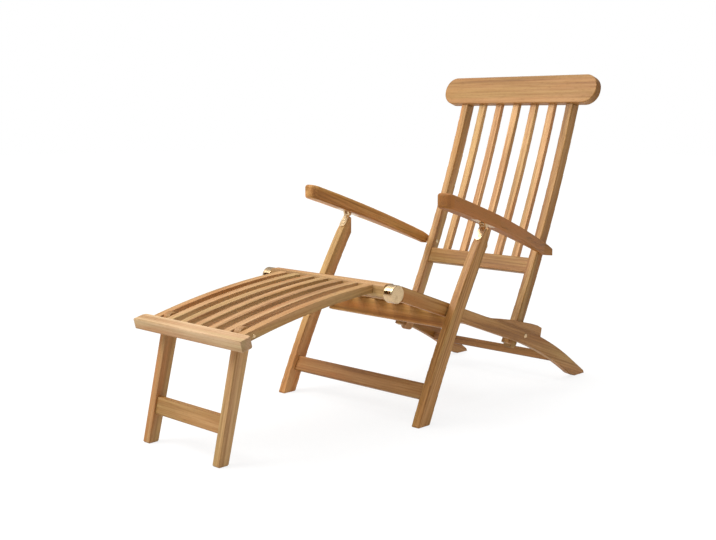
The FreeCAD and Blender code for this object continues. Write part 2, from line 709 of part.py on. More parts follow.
# Brass sockets that the footrest bar turns in
def tang(grow=0.0):
    # plate let into a slot in the end of the seat rail
    x0 = (RAIL_INNER + RAIL_OUTER - TANG_THICK) / 2 - grow
    x1 = x0 + TANG_THICK + 2 * grow
    half = TANG_HEIGHT / 2 + grow
    return slab([(BAR_AXIS[0], BAR_AXIS[1] - half), (TANG_END[0] + grow, TANG_END[1] - half),
                 (TANG_END[0] + grow, TANG_END[1] + half), (BAR_AXIS[0], BAR_AXIS[1] + half)], x0, x1)


def socket():
    outer = RAIL_OUTER + DRUM_PROUD
    cup = disc(DRUM / 2, DRUM_INNER, outer, BAR_AXIS)
    edge = [e for e in cup.Edges if e.BoundBox.XLength < 1e-6]
    body = cup.makeFillet(1.5, edge).fuse(tang()).removeSplitter()
    bore = disc(PIN / 2 + RUNNING, DRUM_INNER - 1, RAIL_OUTER - DRUM_FLOOR, BAR_AXIS)
    depth = RAIL_OUTER - DRUM_FLOOR - DRUM_INNER
    slot = Part.makeBox(depth + 1, DRUM, SLOT, V(DRUM_INNER - 1, -DRUM, -SLOT / 2))
    slot.rotate(V(0, 0, 0), V(1, 0, 0), -16.0)
    slot.translate(V(0, BAR_AXIS[0], BAR_AXIS[1]))
    ring = disc(10.0, outer - 0.6, outer + 1, BAR_AXIS)
    ring = ring.cut(disc(8.5, outer - 1, outer + 2, BAR_AXIS))
    return body.cut(bore).cut(slot).cut(ring)


def socket_screw():
    return (V(RAIL_INNER, TANG_END[0] - 10.0, TANG_END[1] + 3.0), V(1, 0, 0))


def bar_pin():
    inner = disc(PIN / 2, BAR_HALF - PIN_IN_BAR, BAR_HALF, BAR_AXIS)
    outer = disc(PIN / 2, BAR_HALF, RAIL_OUTER - DRUM_FLOOR - FACE_GAP, BAR_AXIS)
    blade = Part.makeBox(2 * PIN_IN_BAR, PIN_FLATS, 2 * PIN,
                         V(BAR_HALF, BAR_AXIS[0] - PIN_FLATS / 2, BAR_AXIS[1] - PIN))
    return inner.fuse(outer.common(blade)).removeSplitter()


def plain_screws(places):
    return [slotted(screw(tip, direction), tip, direction) for tip, direction in places]


def screw_holes(places):
    return [screw(tip, direction, JOINT_FIT) for tip, direction in places]


# The chair, one entry per node; a pair of like fasteners shares a node
def left_and_right(name, shape):
    nodes[name + "_left"] = shape
    nodes[name + "_right"] = mirrored(shape)


nodes = {}
under_slats = SEAT_SLAT_SINK + SEAT_SLAT_THICK
leg_bolt = bolt(RAIL_INNER - FACE_GAP, LEG_OUTER - BLIND, LEG_PIVOT, BOLT, BOLT_HEAD, BOLT_HEAD_HEIGHT)
back_bolt = bolt(RAIL_OUTER, STILE_INNER + BLIND, BACK_PIVOT, BOLT, BOLT_HEAD, BOLT_HEAD_HEIGHT)
arm_bolt_end = ARM_INNER + ARM_TAIL_WIDTH - BLIND
arm_bolt = bolt(STILE_INNER, arm_bolt_end, ARM_PIVOT, BOLT, BOLT_HEAD, BOLT_HEAD_HEIGHT)
fold_bolt = bolt(FOOTREST_RAIL_OUTER, FOLD_INNER + BLIND, FOLD_PIVOT, SMALL_BOLT, SMALL_HEAD, SMALL_HEAD_HEIGHT)

rail = seat_rail().cut(disc(BOLT / 2 + RUNNING, RAIL_INNER - 1, RAIL_OUTER + 1, LEG_PIVOT))
rail = rail.cut(back_bolt).cut(tang(JOINT_FIT)).cut(screw(*socket_screw(), JOINT_FIT))
left_and_right("seat_rail", rail)
left_and_right("cheek_block", cheek_block().cut(back_bolt))
left_and_right("socket", socket().cut(screw(*socket_screw(), JOINT_FIT)))
nodes["socket_screws"] = both(plain_screws([socket_screw()]))
nodes["back_pivot_bolts"] = both([back_bolt])
nodes["seat_front_rail"] = cross_piece(FRONT_CROSS_S, under_slats, under_slats + CROSS_DEPTH, CROSS_WIDTH)
nodes["seat_apron"] = cross_piece(APRON_S, under_slats, APRON_LOW, APRON_THICK)
rear_low = under_slats + REAR_CROSS_DEPTH
nodes["seat_rear_rail"] = cross_piece(REAR_CROSS_S, under_slats, rear_low, REAR_CROSS_WIDTH)
nodes["low_rear_rail"] = low_rail()
for number, slat in enumerate(row(seat_slat(), SEAT_SLAT_WIDTH, SEAT_SLATS, SEAT_SLAT_PITCH), 1):
    nodes["seat_slat_%d" % number] = slat

leg = front_leg().cut(leg_bolt)
leg = leg.cut(Part.makeCompound(screw_holes(leg_leaf_screws())))
left_and_right("front_leg", leg)
nodes["front_leg_stretcher"] = leg_stretcher()
nodes["leg_pivot_bolts"] = both([leg_bolt])
washer = disc(WASHER_OUTER / 2, RAIL_OUTER + FACE_GAP, LEG_INNER, LEG_PIVOT)
nodes["leg_washers"] = both([washer.cut(leg_bolt)])
left_and_right("leg_hinge_leaf", leg_leaf().cut(Part.makeCompound(screw_holes(leg_leaf_screws()))))
nodes["leg_hinge_screws"] = both(plain_screws(leg_leaf_screws()))

arm_bore = disc(BOLT / 2 + JOINT_FIT, ARM_INNER - 1, arm_bolt_end + FACE_GAP, ARM_PIVOT)
arm_holes = Part.makeCompound(screw_holes(arm_leaf_screws()))
left_and_right("arm", arm().cut(arm_leaf()).cut(arm_bore).cut(arm_holes))
left_and_right("arm_hinge_leaf", arm_leaf().cut(arm_holes))
left_and_right("arm_hinge_pin", disc(HINGE_PIN / 2, HINGE_X0, HINGE_X1, ARM_HINGE))
left_and_right("arm_hinge_screws", Part.makeCompound(plain_screws(arm_leaf_screws())))

stile_bore = disc(BOLT / 2 + RUNNING, STILE_INNER + BLIND - FACE_GAP, STILE_OUTER + 1, BACK_PIVOT)
left_and_right("back_stile", stile().cut(stile_bore).cut(arm_bolt))
spacer = disc(SPACER_OUTER / 2, STILE_OUTER, ARM_INNER - FACE_GAP, ARM_PIVOT)
nodes["arm_bolts"] = both([arm_bolt])
nodes["arm_spacers"] = both([spacer.cut(arm_bolt)])
slats = row(soften(back_slat(), SLAT_SOFT), BACK_SLAT_WIDTH, BACK_SLATS, BACK_SLAT_PITCH)
mortises = row(back_slat(), BACK_SLAT_WIDTH, BACK_SLATS, BACK_SLAT_PITCH)
stiles = [nodes["back_stile_left"], nodes["back_stile_right"]]
nodes["back_lower_rail"] = cut_all(lower_rail(), mortises)
nodes["back_top_rail"] = cut_all(top_rail(), stiles + mortises)
for number, slat in enumerate(slats, 1):
    nodes["back_slat_%d" % number] = slat

slat = footrest_strip(SLAT_X, SLAT_X + FOOTREST_SLAT_WIDTH, FOOTREST_SLAT_THICK)
slats = row(soften(slat, SLAT_SOFT), FOOTREST_SLAT_WIDTH, FOOTREST_SLATS, FOOTREST_PITCH)
strip = footrest_strip(FOOTREST_RAIL_OUTER - FOOTREST_RAIL_THICK, FOOTREST_RAIL_OUTER, FOOTREST_RAIL_DEPTH)
strips = row(slat, FOOTREST_SLAT_WIDTH, FOOTREST_SLATS, FOOTREST_PITCH) + [strip, mirrored(strip)]
left_and_right("footrest_rail", soften(strip, SLAT_SOFT).cut(fold_bolt))
nodes["footrest_bar"] = cut_all(footrest_bar(), strips + [bar_pin(), mirrored(bar_pin())])
nodes["footrest_board"] = cut_all(front_board(), strips)
nodes["footrest_bar_pins"] = both([bar_pin()])
nodes["footrest_bolts"] = both([fold_bolt])
for number, slat in enumerate(slats, 1):
    nodes["footrest_slat_%d" % number] = slat
fold_bore = disc(SMALL_BOLT / 2 + RUNNING, FOLD_INNER + BLIND - FACE_GAP, FOLD_OUTER + 1, FOLD_PIVOT)
left_and_right("footrest_leg", fold_leg().cut(fold_bore))
nodes["footrest_leg_stretcher"] = fold_stretcher()

whole = Part.makeCompound(list(nodes.values())).optimalBoundingBox(False, False)
shift = V(0, -(whole.YMin + whole.YMax) / 2, 0)
os.makedirs("parts", exist_ok=True)
for name, shape in nodes.items():
    moved = shape.copy()
    moved.translate(shift)
    moved.exportStep("parts/" + name + ".step")
print("size", round(whole.XLength, 1), round(whole.YLength, 1), round(whole.ZLength, 1))
print("lowest", round(whole.ZMin, 3), "shift", round(shift.y, 3), "nodes", len(nodes))
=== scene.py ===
import math
import random

import bpy
from bpy.props import FloatProperty, FloatVectorProperty, PointerProperty
from mathutils import Matrix, Vector


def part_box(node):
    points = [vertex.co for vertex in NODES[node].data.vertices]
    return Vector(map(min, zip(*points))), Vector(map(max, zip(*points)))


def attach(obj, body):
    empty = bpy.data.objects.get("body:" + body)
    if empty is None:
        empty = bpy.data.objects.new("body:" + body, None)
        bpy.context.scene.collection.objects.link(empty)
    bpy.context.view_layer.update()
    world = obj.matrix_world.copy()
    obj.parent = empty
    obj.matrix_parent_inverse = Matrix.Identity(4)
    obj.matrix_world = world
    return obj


bl_info = {
    "name": "Steamer Deck Chair",
    "version": (1, 0, 0),
    "blender": (4, 5, 0),
    "location": "3D View > Sidebar > Deck Chair",
    "description": "Dresses a folding teak deck chair with oiled wood and polished brass",
    "category": "Add Mesh",
}

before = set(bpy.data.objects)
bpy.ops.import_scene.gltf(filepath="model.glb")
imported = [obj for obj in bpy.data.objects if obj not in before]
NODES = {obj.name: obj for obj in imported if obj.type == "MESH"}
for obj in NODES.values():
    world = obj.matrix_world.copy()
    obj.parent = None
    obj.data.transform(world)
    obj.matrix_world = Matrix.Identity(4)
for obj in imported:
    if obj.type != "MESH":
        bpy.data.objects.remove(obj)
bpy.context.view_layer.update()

SEAT_SLATS = 6
BACK_SLATS = 5
FOOTREST_SLATS = 5


def tilted(degrees):
    """A unit vector in the side plane, degrees above the way to the back."""
    turn = math.radians(degrees)
    return (0.0, math.cos(turn), math.sin(turn))


# Directions of the grain
SIDEWAYS = (1.0, 0.0, 0.0)
UPRIGHT = (0.0, 0.0, 1.0)
SEAT_GRAIN = tilted(-19.5)
FOOT_GRAIN = tilted(8.3)
LEG_GRAIN = tilted(62.33)
STAND_GRAIN = tilted(76.4)
BACK_GRAIN = tilted(67.5)

# Patterns in the wood: waves in a metre along the grain and across it, layers of detail, coarseness
WARP = (1.3, 6.0, 2.0, 0.5)
STREAK = (1.1, 42.0, 4.0, 0.62)
FIBRE = (7.0, 300.0, 3.0, 0.6)
CLOUD = (3.2, 9.0, 2.0, 0.5)
HUE = (1.7, 26.0, 2.0, 0.5)
BLUSH = (2.6, 20.0, 3.0, 0.5)
PORE = (60.0, 1200.0, 1.0, 0.5)

# How far the patterns are moved from board to board, and the blush from the other patterns
BOARD_SHIFT = (3.0, 9.0)
BLUSH_SHIFT = 40.0

# The most that a board's growth rings are turned about the grain, in radians
RING_TURN = 0.9

# The most that a board is lighter or darker than its own tone
WARMTH = 0.12

# Where a pattern starts to show, and where it shows in full
LATE_START = (0.35, 0.9)
LATE_STOP = (0.92, 1.0)
STREAK_SHOWS = (0.32, 0.68)
CLOUD_SHOWS = (0.3, 0.7)
HUE_SHOWS = (0.36, 0.66)
BLUSH_SHOWS = (0.5, 0.74)
PORE_SHOWS = (0.6, 0.74)
END_SHOWS = (0.75, 0.97)
EDGE_SHOWS = (0.1, 0.24)
# where the painted shade along the rounded edges breaks into patches
EDGE_SHADE_PATCHES = (0.3, 0.62)

# The share of each pattern in the mixture of light, middle and dark wood
STREAK_SHARE = 0.6
LATE_SHARE = 0.16
FIBRE_SHARE = 0.85
CLOUD_SHARE = 0.2

# How fast the mixture turns from one colour to the next, and how late the dark one comes in
CONTRAST = 1.7
DARK_FROM = 0.9

# How far dry or oily wood changes the middle colour, and dry wood the dark one
MIDDLE_CHANGE = 0.62
DARK_CHANGE = 0.8

# How far each finish covers the wood under it, and how bright it is against its own colour; the
# edge cover is painted shade
BLUSH_COVER, BLUSH_SHADE = 0.6, 1.1
TINT_COVER = 0.8
PORE_COVER, PORE_SHADE = 0.4, 0.6
EDGE_SHADE_COVER = 0.5
END_COVER, END_SHADE = 0.32, 0.8

# What each pattern adds to the roughness and to the relief of the wood
FIBRE_ROUGH, END_ROUGH, PORE_ROUGH, EDGE_ROUGH = 0.24, 0.16, 0.1, 0.08
FIBRE_RISE, LATE_RISE, PORE_SINK = 0.6, 0.2, 0.8

# Strength and depth of the relief, the depth in metres
WOOD_BUMP = (0.4, 0.0004)
BRASS_BUMP = (0.12, 0.0002)

# Patterns in the brass: waves in a metre, layers of detail, coarseness
TARNISH = (60.0, 4.0, 0.6)
MARKS = (900.0, 2.0, 0.7)
SPOTS = (320.0, 2.0, 0.5)
TARNISH_SHOWS = (0.45, 0.78)
SPOTS_SHOW = (0.66, 0.74)
TARNISH_COVER = 0.45
SPOT_COVER, SPOT_SHADE, SPOT_DULLING = 0.35, 0.6, 0.25
TARNISH_ROUGH, MARK_ROUGH, SPOT_ROUGH = 0.16, 0.12, 0.15

# Turned shapes from rim to middle: how far in and how far up each step goes, as shares
DOME = ((0.1, 0.17), (0.16, 0.16), (0.22, 0.14), (0.25, 0.09), (0.16, 0.03))
DOME_RIM = 0.4
CAP_BEVEL = ((0.7, 0.6),)
CAP_FACE = ((0.05, 0.12), (0.012, -0.22), (0.012, 0.22), (0.3, 0.1), (0.35, 0.06))
PLUG_CROWN = ((0.12, 0.05), (0.3, 0.03), (0.3, 0.01))

# How many sides a turned shape has, and up to which angle in degrees they are shaded as one curve
DOME_SIDES, DOME_CURVE = 48, 35.0
CAP_SIDES, CAP_CURVE = 96, 28.0
PLUG_SIDES, PLUG_CURVE = 32, 40.0

# A head's slot against its radius and height
SLOT_LENGTH, SLOT_DEPTH = 2.4, 0.9

# A small head's height and slot against those of a large one
SMALL_HEIGHT, SMALL_SLOT = 0.7, 0.75

# How far a cap is sunk into its drum, and a height over the whole chair, in metres
CAP_BEDDING = 0.0002
ABOVE_ALL = 2.0

# How much of a unit vector lies along an axis that it is taken to follow
NEARLY_ALONG = 0.9

# The stage, in metres and degrees, with the camera's sensor in millimetres
WHITE = (1.0, 1.0, 1.0, 1.0)
FLOOR_DROP = 0.0006
FLOOR_GLOW = 1.06
NEAR_GLOW, GLOSSY_GLOW = 0.78, 0.6
GLOW_GROWS = (0.7, 1.7)
LAMPS = (("key", (-1.8, -2.2, 3.3), 2.2, 1.0), ("top", (-0.4, 0.2, 3.6), 3.0, 0.62))
LAMP_AIM = (0.0, -0.1, 0.4)
CAMERA_PLACE = (2.1593, -2.33014, 0.8491)
CAMERA_TURN, CAMERA_DIP = 43.9, 8.07
CAMERA_SENSOR, CAMERA_REACH = 36.0, 100.0


# Writing materials

class Socket:
    """A value inside a material; arithmetic on it adds Math nodes."""

    def __init__(self, recipe, out):
        self.recipe = recipe
        self.out = out

    def maths(self, operation, first, second=None):
        inputs = {0: first} if second is None else {0: first, 1: second}
        return self.recipe.node("ShaderNodeMath", {"operation": operation}, inputs)

    def __add__(self, other):
        return self.maths("ADD", self, other)

    def __radd__(self, other):
        return self.maths("ADD", other, self)

    def __sub__(self, other):
        return self.maths("SUBTRACT", self, other)

    def __rsub__(self, other):
        return self.maths("SUBTRACT", other, self)

    def __mul__(self, other):
        return self.maths("MULTIPLY", self, other)

    def __truediv__(self, other):
        return self.maths("DIVIDE", self, other)

    def __abs__(self):
        return self.maths("ABSOLUTE", self)

    def fraction(self):
        return self.maths("FRACT", self)

    def largest(self, other):
        return self.maths("MAXIMUM", self, other)

    def clamped(self):
        return self.recipe.node("ShaderNodeClamp", {}, {0: self})

    def between(self, low, high):
        """0 at low, 1 at high, smooth in the middle."""
        settings = {"interpolation_type": "SMOOTHSTEP"}
        return self.recipe.node("ShaderNodeMapRange", settings, {0: self, 1: low, 2: high})


class Recipe:
    """The nodes of a material or a world that is being written."""

    def __init__(self, owner):
        owner.use_nodes = True
        self.owner = owner
        self.tree = owner.node_tree
        self.tree.nodes.clear()

    def node(self, kind, settings, inputs, output=0):
        made = self.tree.nodes.new(kind)
        for name, value in settings.items():
            setattr(made, name, value)
        for name, value in inputs.items():
            self.connect(made.inputs[name], value)
        return Socket(self, made.outputs[output]) if made.outputs else None

    def connect(self, socket, value):
        if isinstance(value, Socket):
            self.tree.links.new(value.out, socket)
        else:
            socket.default_value = value

    def mix(self, factor, first, second, blend="MIX"):
        """Mixes two colours, which are sockets 6 and 7 of a Mix node, into its output 2."""
        settings = {"data_type": "RGBA", "blend_type": blend}
        return self.node("ShaderNodeMix", settings, {0: factor, 6: first, 7: second}, 2)

    def point(self, x, y, z):
        return self.node("ShaderNodeCombineXYZ", {}, {0: x, 1: y, 2: z})

    def split(self, where):
        """The x, y and z of a point."""
        first = self.node("ShaderNodeSeparateXYZ", {}, {0: where})
        return [Socket(self, out) for out in first.out.node.outputs]

    def noise(self, where, scale, detail, coarse):
        inputs = {"Vector": where, "Scale": scale, "Detail": detail, "Roughness": coarse}
        return self.node("ShaderNodeTexNoise", {}, inputs)

    def facing(self, normal, axis):
        """How far a surface faces along a unit vector, 1 when it looks straight along it."""
        settings = {"operation": "DOT_PRODUCT"}
        return self.node("ShaderNodeVectorMath", settings, {0: normal, 1: axis}, 1)

    def finish(self, inputs, height, strength, distance):
        bump = {"Strength": strength, "Distance": distance, "Height": height}
        inputs["Normal"] = self.node("ShaderNodeBump", {}, bump)
        surface = self.node("ShaderNodeBsdfPrincipled", {}, inputs)
        self.node("ShaderNodeOutputMaterial", {}, {"Surface": surface})
        return self.owner


class Board:
    """Where a point lies in a board: along its grain, to its side and in its depth."""

    def __init__(self, recipe, grain, pick):
        self.recipe = recipe
        x, y, z = recipe.split(recipe.node("ShaderNodeTexCoord", {}, {}, "Object"))
        along = x * grain[0] + y * grain[1] + z * grain[2]
        if abs(grain[0]) > NEARLY_ALONG:
            side, depth = y, z
            self.axes = (grain, (0.0, 1.0, 0.0), (0.0, 0.0, 1.0))
        else:
            side, depth = x, y * grain[2] - z * grain[1]
            self.axes = (grain, (1.0, 0.0, 0.0), (0.0, grain[2], -grain[1]))
        self.along = along + pick.uniform(*BOARD_SHIFT)
        self.side = side + pick.uniform(*BOARD_SHIFT)
        self.depth = depth + pick.uniform(*BOARD_SHIFT)

    def figure(self, pattern, shift=None):
        """A pattern stretched along the grain."""
        lengthwise, crosswise, detail, coarse = pattern
        along = self.along * lengthwise
        if shift is not None:
            along = along + shift
        where = self.recipe.point(along, self.side * crosswise, self.depth * crosswise)
        return self.recipe.noise(where, 1.0, detail, coarse)

    def late_wood(self, turn, settings):
        """Growth rings cut nearly along the pith, so that they show as long straight lines."""
        warp = (self.figure(WARP) - 0.5) * settings.wander
        rings = self.side * math.cos(turn) + self.depth * math.sin(turn) + warp
        ring = (rings / settings.ring_spacing).fraction()
        return ring.between(*LATE_START) * (1 - ring.between(*LATE_STOP))

    def ends_and_edges(self):
        """1 on end grain, and 1 where the surface turns from one flat side to the next."""
        normal = self.recipe.node("ShaderNodeTexCoord", {}, {}, "Normal")
        end, side, depth = [abs(self.recipe.facing(normal, axis)) for axis in self.axes]
        flattest = end.largest(side).largest(depth)
        return end.between(*END_SHOWS), (1 - flattest).between(*EDGE_SHOWS)


def shade(colour, amount=1.0):
    return (*[min(1.0, c * amount) for c in colour[:3]], 1.0)


def blend_colours(first, second, amount):
    return (*[a + (b - a) * amount for a, b in zip(first[:3], second[:3])], 1.0)


def wood_colours(settings, tone, dry):
    """The light, middle and dark colour of one board."""
    toward = settings.dry if dry > 0 else settings.oily
    light = blend_colours(settings.light, toward, abs(dry))
    middle = blend_colours(settings.middle, toward, abs(dry) * MIDDLE_CHANGE)
    dark = blend_colours(settings.dark, settings.middle, max(0.0, dry) * DARK_CHANGE)
    return shade(light, tone), shade(middle, tone), shade(dark, tone)


def teak(name, settings, grain, tone=1.0, dry=0.0):
    """Oiled teak with its grain along a unit vector.

    tone brightens it, and dry is 1 for bare wood and -1 for wood full of oil.
    """
    pick = random.Random(name)
    recipe = Recipe(bpy.data.materials.new("teak_" + name))
    board = Board(recipe, grain, pick)
    late = board.late_wood(pick.uniform(-RING_TURN, RING_TURN), settings)

    # broad streaks, fine fibres, slow changes of hue and short dark pores
    streak = board.figure(STREAK)
    fibre = board.figure(FIBRE)
    cloud = board.figure(CLOUD)
    hue = board.figure(HUE).between(*HUE_SHOWS)
    blush = board.figure(BLUSH, BLUSH_SHIFT).between(*BLUSH_SHOWS)
    pores = board.figure(PORE).between(*PORE_SHOWS)

    # end grain is darker, and the rounded edges get painted shade in patches
    end, painted_edge_shade = board.ends_and_edges()
    painted_edge_shade = painted_edge_shade * (cloud * 0.5 + fibre * 0.5).between(*EDGE_SHADE_PATCHES)

    warmth = pick.uniform(-WARMTH, WARMTH)
    light, middle, dark = wood_colours(settings, tone, dry)
    mixture = streak.between(*STREAK_SHOWS) * STREAK_SHARE + late * LATE_SHARE
    mixture = mixture + (fibre - 0.5) * FIBRE_SHARE + cloud.between(*CLOUD_SHOWS) * CLOUD_SHARE
    wood = recipe.mix((mixture * CONTRAST + warmth).clamped(), light, middle)
    wood = recipe.mix((mixture * CONTRAST - DARK_FROM + warmth).clamped(), wood, dark)
    wood = recipe.mix(blush * BLUSH_COVER, wood, shade(settings.oily, BLUSH_SHADE * tone))
    wood = recipe.mix(hue * TINT_COVER, wood, shade(settings.tint), "MULTIPLY")
    wood = recipe.mix(pores * PORE_COVER, wood, shade(settings.dark, PORE_SHADE * tone))
    # painted shade: the rounded edges are darkened towards the dark wood colour
    wood = recipe.mix(painted_edge_shade * EDGE_SHADE_COVER, wood, shade(settings.dark, tone))
    wood = recipe.mix(end * END_COVER, wood, shade(settings.dark, END_SHADE * tone))

    rough = settings.roughness + (fibre - 0.5) * FIBRE_ROUGH + end * END_ROUGH
    rough = rough + pores * PORE_ROUGH + painted_edge_shade * EDGE_ROUGH
    height = fibre * FIBRE_RISE + late * LATE_RISE - pores * PORE_SINK
    surface = {"Base Color": wood, "Roughness": rough, "Specular IOR Level": settings.sheen}
    return recipe.finish(surface, height, *WOOD_BUMP)


def brass(name, settings):
    """Polished brass with a little tarnish and the fine marks of hand polishing."""
    recipe = Recipe(bpy.data.materials.new(name))
    where = recipe.node("ShaderNodeTexCoord", {}, {}, "Object")
    tarnish = recipe.noise(where, *TARNISH).between(*TARNISH_SHOWS)
    marks = recipe.noise(where, *MARKS)
    spots = recipe.noise(where, *SPOTS).between(*SPOTS_SHOW)
    metal = recipe.mix(tarnish * TARNISH_COVER, shade(settings.colour), shade(settings.tarnish))
    metal = recipe.mix(spots * SPOT_COVER, metal, shade(settings.tarnish, SPOT_SHADE))
    rough = settings.roughness + tarnish * TARNISH_ROUGH + (marks - 0.5) * MARK_ROUGH
    rough = rough + spots * SPOT_ROUGH
    surface = {"Base Color": metal, "Metallic": 1.0 - spots * SPOT_DULLING, "Roughness": rough}
    return recipe.finish(surface, marks, *BRASS_BUMP)


# Finishing the CAD nodes

def numbered(stem, count):
    return [stem % number for number in range(1, count + 1)]


def pair(stem):
    return [stem + "_left", stem + "_right"]


def put_on(item, material):
    if not item.material_slots:
        item.data.materials.append(material)
    for place in item.material_slots:
        place.material = material


def dress(names, settings, grain, tone=1.0, dry=0.0):
    for name in names:
        put_on(NODES[name], teak(name, settings, grain, tone, dry))


def polish(items, settings):
    name = "polished_brass"
    material = bpy.data.materials.get(name) or brass(name, settings)
    for item in items:
        put_on(item, material)


# Modelling new pieces

def turned_blank(name, radius, low, high, sides):
    """A cylinder between two heights, open for editing with its top face selected."""
    bpy.ops.object.select_all(action="DESELECT")
    bpy.ops.mesh.primitive_cylinder_add(vertices=sides, radius=radius, depth=high - low,
                                        location=(0.0, 0.0, (low + high) / 2))
    item = bpy.context.object
    item.name = name
    item.data.name = name
    bpy.ops.object.mode_set(mode="EDIT")
    bpy.ops.mesh.select_mode(type="FACE")
    bpy.ops.mesh.select_all(action="DESELECT")
    bpy.ops.object.mode_set(mode="OBJECT")
    for face in item.data.polygons:
        face.select = face.normal.z > NEARLY_ALONG
    bpy.ops.object.mode_set(mode="EDIT")
    return item


def crown(steps, width, height):
    """Insets and lifts the selected face step by step, so that a flat end takes a turned shape."""
    for inwards, upwards in steps:
        bpy.ops.mesh.inset(thickness=width * inwards)
        bpy.ops.transform.translate(value=(0.0, 0.0, height * upwards))


def smooth(item, degrees):
    bpy.ops.object.mode_set(mode="OBJECT")
    bpy.ops.object.shade_smooth_by_angle(angle=math.radians(degrees))
    return item


def slotted_dome(radius, height, slot):
    """A domed brass bolt head with a screwdriver slot, standing on the origin."""
    item = turned_blank("dome", radius, 0.0, height * DOME_RIM, DOME_SIDES)
    crown(DOME, radius, height)
    bpy.ops.object.mode_set(mode="OBJECT")
    bpy.ops.object.select_all(action="DESELECT")
    bpy.ops.mesh.primitive_cube_add(size=1.0, location=(0.0, 0.0, height),
                                    scale=(radius * SLOT_LENGTH, slot, height * SLOT_DEPTH))
    cutter = bpy.context.object
    bpy.context.view_layer.objects.active = item
    item.select_set(True)
    cut = item.modifiers.new("slot", "BOOLEAN")
    cut.object = cutter
    bpy.ops.object.modifier_apply(modifier="slot")
    bpy.data.objects.remove(cutter, do_unlink=True)
    return smooth(item, DOME_CURVE)


def drum_cap(radius, height):
    """The turned end of a hinge drum: a bevelled rim round a face that swells a little."""
    item = turned_blank("cap", radius, 0.0, height, CAP_SIDES)
    crown(CAP_BEVEL, height, height)
    crown(CAP_FACE, radius, height)
    return smooth(item, CAP_CURVE)


def wooden_plug(radius, depth):
    """A plug over a countersunk screw, sanded to a faint crown."""
    item = turned_blank("plug", radius, -depth, 0.0, PLUG_SIDES)
    crown(PLUG_CROWN, radius, radius)
    return smooth(item, PLUG_CURVE)


def set_down(master, name, place, facing, twist=0.0):
    """Copies a piece modelled standing at the origin to a place, its top towards facing."""
    item = master.copy()
    item.data = master.data.copy()
    item.name = name
    item.data.name = name
    bpy.context.scene.collection.objects.link(item)
    turn = Vector(facing).to_track_quat("Z", "Y").to_matrix().to_4x4()
    spin = Matrix.Rotation(twist, 4, "Z")
    item.data.transform(Matrix.Translation(Vector(place)) @ turn @ spin)
    return item


def discard(master):
    bpy.data.objects.remove(master, do_unlink=True)


def halfway(low, high):
    """The middle of a box, from its lowest and its highest corner."""
    return [(a + b) / 2 for a, b in zip(low, high)]


def middle_of(name):
    low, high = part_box(name)
    return halfway(low, high)


def on_top(name, x, y):
    """The point and the normal where a CAD node is first met from above."""
    above, down = Vector((x, y, ABOVE_ALL)), Vector((0.0, 0.0, -1.0))
    hit, place, normal, _ = NODES[name].ray_cast(above, down)
    if not hit:
        raise RuntimeError("nothing of %s lies under %.3f, %.3f" % (name, x, y))
    return place, normal


def head_places(node, stem, inwards, settings):
    """Where the two heads of a pair of bolts stand, and which way each faces."""
    low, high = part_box(node)
    y, z = halfway(low, high)[1:]
    if inwards:
        way = -1.0
        reach = min(abs(point.co.x) for point in NODES[node].data.vertices)
    else:
        way = 1.0
        reach = high[0]
    seat = reach - way * settings.head_bedding
    return [(stem + "_left", (seat, y, z), (way, 0.0, 0.0)),
            (stem + "_right", (-seat, y, z), (-way, 0.0, 0.0))]


# What a user may change

class TeakSettings(bpy.types.PropertyGroup):
    light: FloatVectorProperty(
        name="Light wood", description="Palest colour between the streaks", subtype="COLOR",
        default=(0.61, 0.328, 0.116), min=0.0, max=1.0)
    middle: FloatVectorProperty(
        name="Middle wood", description="Main colour of the heartwood", subtype="COLOR",
        default=(0.4, 0.18, 0.046), min=0.0, max=1.0)
    dark: FloatVectorProperty(
        name="Dark wood", description="Colour of the darkest streaks", subtype="COLOR",
        default=(0.175, 0.067, 0.015), min=0.0, max=1.0)
    dry: FloatVectorProperty(
        name="Dry wood", description="Colour of wood whose oil has worn away", subtype="COLOR",
        default=(0.7, 0.485, 0.3), min=0.0, max=1.0)
    oily: FloatVectorProperty(
        name="Oily wood", description="Colour of wood that has soaked up most oil",
        subtype="COLOR", default=(0.4, 0.128, 0.019), min=0.0, max=1.0)
    tint: FloatVectorProperty(
        name="Tint", description="What the greener streaks multiply the colour by",
        subtype="COLOR", default=(0.85, 0.96, 0.8), min=0.0, max=1.0)
    ring_spacing: FloatProperty(
        name="Ring spacing", description="Distance between growth rings", unit="LENGTH",
        default=0.006, min=0.001, max=0.03)
    wander: FloatProperty(
        name="Wander", description="How far the growth rings stray from straight",
        unit="LENGTH", default=0.016, min=0.0, max=0.1)
    roughness: FloatProperty(
        name="Roughness", description="Roughness of the oiled surface",
        default=0.5, min=0.1, max=1.0)
    sheen: FloatProperty(
        name="Sheen", description="Strength of the reflections in the oil",
        default=0.34, min=0.0, max=1.0)


class BrassSettings(bpy.types.PropertyGroup):
    colour: FloatVectorProperty(
        name="Colour", description="Colour of clean brass", subtype="COLOR",
        default=(0.68, 0.49, 0.285), min=0.0, max=1.0)
    tarnish: FloatVectorProperty(
        name="Tarnish", description="Colour where the brass has dulled", subtype="COLOR",
        default=(0.4, 0.265, 0.125), min=0.0, max=1.0)
    roughness: FloatProperty(
        name="Roughness", description="Roughness of the polished metal",
        default=0.26, min=0.05, max=1.0)


